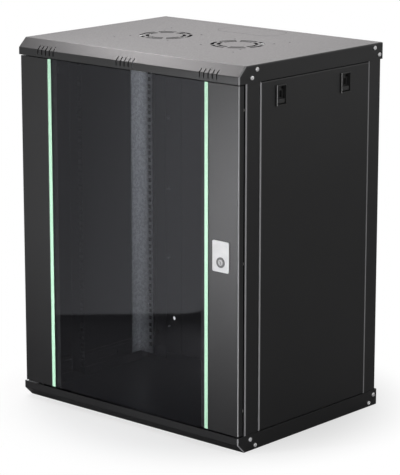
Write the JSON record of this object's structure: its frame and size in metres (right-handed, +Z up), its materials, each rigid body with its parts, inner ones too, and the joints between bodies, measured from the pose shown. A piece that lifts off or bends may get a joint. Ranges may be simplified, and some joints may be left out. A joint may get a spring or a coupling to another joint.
{
  "type": "wall mount network cabinet",
  "caption": "Wall mount network cabinet with a smoked glass door, vented chamfered roof, lift-off side panels with slide latches and square-hole rack rails inside.",
  "frame": {"origin": "centre of the bounding box at the underside of the bottom cover", "axes": "+X to the right seen from the front, +Y from the door to the wall, +Z up"},
  "size_m": [0.606, 0.45, 0.77],
  "materials": {
    "black_coat": "satin black powder coat with a fine grain on folded sheet steel",
    "tinted_glass": "smoked tempered glass with polished edges",
    "green_strip": "pale mint green strip, smooth",
    "tape": "black foam mounting tape",
    "black_plastic": "fine textured black moulding",
    "zinc": "bright zinc plate on steel",
    "satin_nickel": "satin nickel plated zinc casting",
    "brass": "plain brass nut",
    "clear_rubber": "translucent grey elastomer"
  },
  "bodies": {
    "cabinet": {"top_cover": "black_coat", "bottom_cover": "black_coat", "post_front_left": "black_coat", "post_rear_left": "black_coat", "depth_rail_top_left": "black_coat", "depth_rail_bottom_left": "black_coat", "rack_rail_front_left": "black_coat", "rack_rail_rear_left": "zinc", "post_front_right": "black_coat", "post_rear_right": "black_coat", "depth_rail_top_right": "black_coat", "depth_rail_bottom_right": "black_coat", "rack_rail_front_right": "black_coat", "rack_rail_rear_right": "zinc", "rear_panel": "black_coat", "cover_screws": "zinc", "rack_rail_bolts": "zinc", "rack_rail_nuts": "zinc", "rear_panel_screws": "zinc", "hinge_bracket_top": "zinc", "hinge_bracket_bottom": "zinc", "hinge_bracket_screws": "zinc", "door_buffers": "clear_rubber", "earth_stud": "zinc", "earth_nut": "brass"},
    "door": {"door_profile_left": "black_coat", "door_profile_right": "black_coat", "door_glass": "tinted_glass", "accent_strip_left": "green_strip", "accent_strip_right": "green_strip", "glass_tape_left": "tape", "glass_tape_right": "tape", "hinge_block_bottom": "black_coat", "hinge_pin_bottom": "zinc", "hinge_washer": "black_plastic", "hinge_guide_top": "black_coat", "hinge_spring": "zinc", "lock_plate": "satin_nickel", "lock_barrel": "satin_nickel", "lock_nut": "zinc"},
    "hinge_pin": {"hinge_pin_top": "zinc"},
    "lock": {"lock_plug": "satin_nickel", "lock_cam": "zinc", "cam_screw": "zinc"},
    "panel_left": {"side_panel_left": "black_coat", "latch_frames_left": "black_plastic"},
    "latch_left_front": {"latch_slider_left_front": "black_plastic"},
    "latch_left_rear": {"latch_slider_left_rear": "black_plastic"},
    "panel_right": {"side_panel_right": "black_coat", "latch_frames_right": "black_plastic"},
    "latch_right_front": {"latch_slider_right_front": "black_plastic"},
    "latch_right_rear": {"latch_slider_right_rear": "black_plastic"}
  },
  "joints": [
    {"name": "door_hinge", "type": "hinge", "parent": "cabinet", "child": "door", "pos_m": [-0.2895, -0.2145, 0.385], "axis": [0, 0, -1], "range_deg": [0, 180]},
    {"name": "pin_retract", "type": "slide", "parent": "door", "child": "hinge_pin", "axis": [0, 0, -1], "range_m": [0, 0.009], "stiffness_N_per_m": 200, "springref_m": -0.01, "deforming": ["hinge_spring"]},
    {"name": "lock_turn", "type": "hinge", "parent": "door", "child": "lock", "pos_m": [0.253, -0.2, 0.383], "axis": [0, -1, 0], "range_deg": [0, 90]},
    {"name": "side_panel_left_tilt", "type": "hinge", "parent": "cabinet", "child": "panel_left", "pos_m": [-0.3, 0, 0.0343], "axis": [0, -1, 0], "range_deg": [0, 20]},
    {"name": "latch_left_front_slide", "type": "slide", "parent": "panel_left", "child": "latch_left_front", "axis": [0, 0, 1], "range_m": [0, 0.008]},
    {"name": "latch_left_rear_slide", "type": "slide", "parent": "panel_left", "child": "latch_left_rear", "axis": [0, 0, 1], "range_m": [0, 0.008]},
    {"name": "side_panel_right_tilt", "type": "hinge", "parent": "cabinet", "child": "panel_right", "pos_m": [0.3, 0, 0.0343], "axis": [0, 1, 0], "range_deg": [0, 20]},
    {"name": "latch_right_front_slide", "type": "slide", "parent": "panel_right", "child": "latch_right_front", "axis": [0, 0, 1], "range_m": [0, 0.008]},
    {"name": "latch_right_rear_slide", "type": "slide", "parent": "panel_right", "child": "latch_right_rear", "axis": [0, 0, 1], "range_m": [0, 0.008]}
  ]
}
